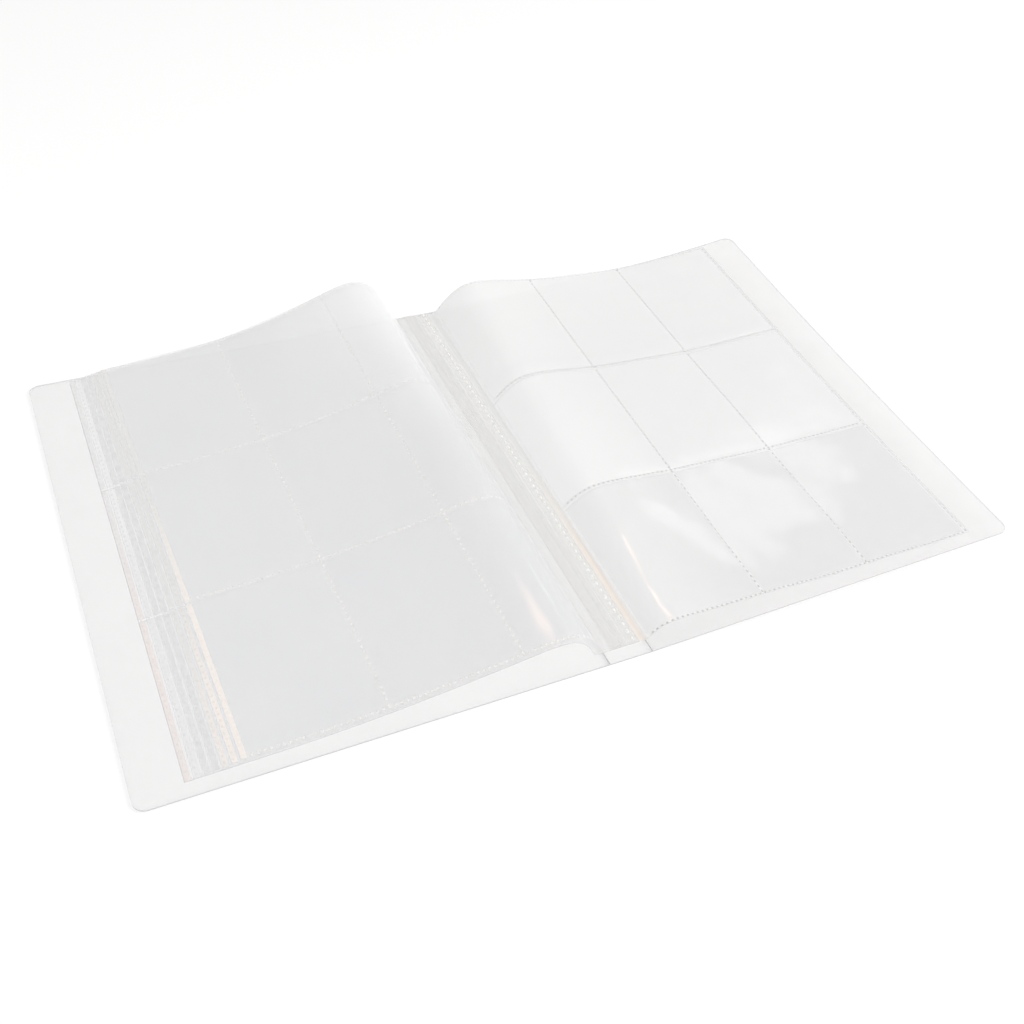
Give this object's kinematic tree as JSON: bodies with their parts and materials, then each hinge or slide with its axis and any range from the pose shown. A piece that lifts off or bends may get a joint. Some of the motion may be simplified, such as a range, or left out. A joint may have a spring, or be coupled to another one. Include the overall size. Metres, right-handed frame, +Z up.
{
  "type": "instant photo album",
  "caption": "Clear pocket album for small instant photo prints, lying open, with welded film leaves bowed over a frosted cover that folds on two score lines",
  "frame": {"origin": "On the table, under the middle of the spine.", "axes": "X runs across the open album towards the back cover, Y runs along the spine towards the tops of the pages, Z is up."},
  "size_m": [0.4609, 0.29, 0.034],
  "materials": {
    "cover_sheet": "frosted translucent polypropylene sheet",
    "pocket_film": "clear glossy polypropylene film with heat-welded seams",
    "welded_film": "stacked clear film welded together"
  },
  "bodies": {
    "spine": {"spine": "cover_sheet", "left_binding": "welded_film", "right_binding": "welded_film"},
    "front_cover": {"front_cover": "cover_sheet"},
    "back_cover": {"back_cover": "cover_sheet"},
    "left_leaf_1": {"left_leaf_1_back_film": "pocket_film", "left_leaf_1_bottom_row": "pocket_film", "left_leaf_1_middle_row": "pocket_film", "left_leaf_1_top_row": "pocket_film"},
    "left_leaf_2": {"left_leaf_2_back_film": "pocket_film", "left_leaf_2_bottom_row": "pocket_film", "left_leaf_2_middle_row": "pocket_film", "left_leaf_2_top_row": "pocket_film"},
    "left_leaf_3": {"left_leaf_3_back_film": "pocket_film", "left_leaf_3_bottom_row": "pocket_film", "left_leaf_3_middle_row": "pocket_film", "left_leaf_3_top_row": "pocket_film"},
    "left_leaf_4": {"left_leaf_4_back_film": "pocket_film", "left_leaf_4_bottom_row": "pocket_film", "left_leaf_4_middle_row": "pocket_film", "left_leaf_4_top_row": "pocket_film"},
    "left_leaf_5": {"left_leaf_5_back_film": "pocket_film", "left_leaf_5_bottom_row": "pocket_film", "left_leaf_5_middle_row": "pocket_film", "left_leaf_5_top_row": "pocket_film"},
    "left_leaf_6": {"left_leaf_6_back_film": "pocket_film", "left_leaf_6_bottom_row": "pocket_film", "left_leaf_6_middle_row": "pocket_film", "left_leaf_6_top_row": "pocket_film"},
    "left_leaf_7": {"left_leaf_7_back_film": "pocket_film", "left_leaf_7_bottom_row": "pocket_film", "left_leaf_7_middle_row": "pocket_film", "left_leaf_7_top_row": "pocket_film"},
    "right_leaf_1": {"right_leaf_1_back_film": "pocket_film", "right_leaf_1_bottom_row": "pocket_film", "right_leaf_1_middle_row": "pocket_film", "right_leaf_1_top_row": "pocket_film"}
  },
  "joints": [
    {"name": "front_cover_fold", "type": "hinge", "parent": "spine", "child": "front_cover", "pos_m": [-0.0115, 0, 0.0008], "axis": [0, -1, 0], "range_deg": [-60, 0]},
    {"name": "back_cover_fold", "type": "hinge", "parent": "spine", "child": "back_cover", "pos_m": [0.0115, 0, 0.0008], "axis": [0, 1, 0], "range_deg": [-60, 2]},
    {"name": "left_leaf_1_turn", "type": "hinge", "parent": "front_cover", "child": "left_leaf_1", "pos_m": [-0.01589, 0, 0.001], "axis": [0, 1, 0], "range_deg": [0, 5]},
    {"name": "left_leaf_2_turn", "type": "hinge", "parent": "front_cover", "child": "left_leaf_2", "pos_m": [-0.01535, 0, 0.00126], "axis": [0, 1, 0], "range_deg": [0, 10]},
    {"name": "left_leaf_3_turn", "type": "hinge", "parent": "front_cover", "child": "left_leaf_3", "pos_m": [-0.01481, 0, 0.00152], "axis": [0, 1, 0], "range_deg": [0, 15]},
    {"name": "left_leaf_4_turn", "type": "hinge", "parent": "front_cover", "child": "left_leaf_4", "pos_m": [-0.01427, 0, 0.00178], "axis": [0, 1, 0], "range_deg": [0, 20]},
    {"name": "left_leaf_5_turn", "type": "hinge", "parent": "front_cover", "child": "left_leaf_5", "pos_m": [-0.01373, 0, 0.00204], "axis": [0, 1, 0], "range_deg": [0, 25]},
    {"name": "left_leaf_6_turn", "type": "hinge", "parent": "front_cover", "child": "left_leaf_6", "pos_m": [-0.01319, 0, 0.0023], "axis": [0, 1, 0], "range_deg": [0, 30]},
    {"name": "left_leaf_7_turn", "type": "hinge", "parent": "left_leaf_6", "child": "left_leaf_7", "pos_m": [-0.01265, 0, 0.00256], "axis": [0, 1, 0], "range_deg": [0, 55]},
    {"name": "right_leaf_1_turn", "type": "hinge", "parent": "back_cover", "child": "right_leaf_1", "pos_m": [0.01236, 0, 0.00113], "axis": [0, -1, 0], "range_deg": [0, 38]}
  ],
  "couplings": [
    {"joint": "left_leaf_1_turn", "follows": "left_leaf_6_turn", "ratio": 0.16667},
    {"joint": "left_leaf_2_turn", "follows": "left_leaf_6_turn", "ratio": 0.33333},
    {"joint": "left_leaf_3_turn", "follows": "left_leaf_6_turn", "ratio": 0.5},
    {"joint": "left_leaf_4_turn", "follows": "left_leaf_6_turn", "ratio": 0.66667},
    {"joint": "left_leaf_5_turn", "follows": "left_leaf_6_turn", "ratio": 0.83333}
  ]
}
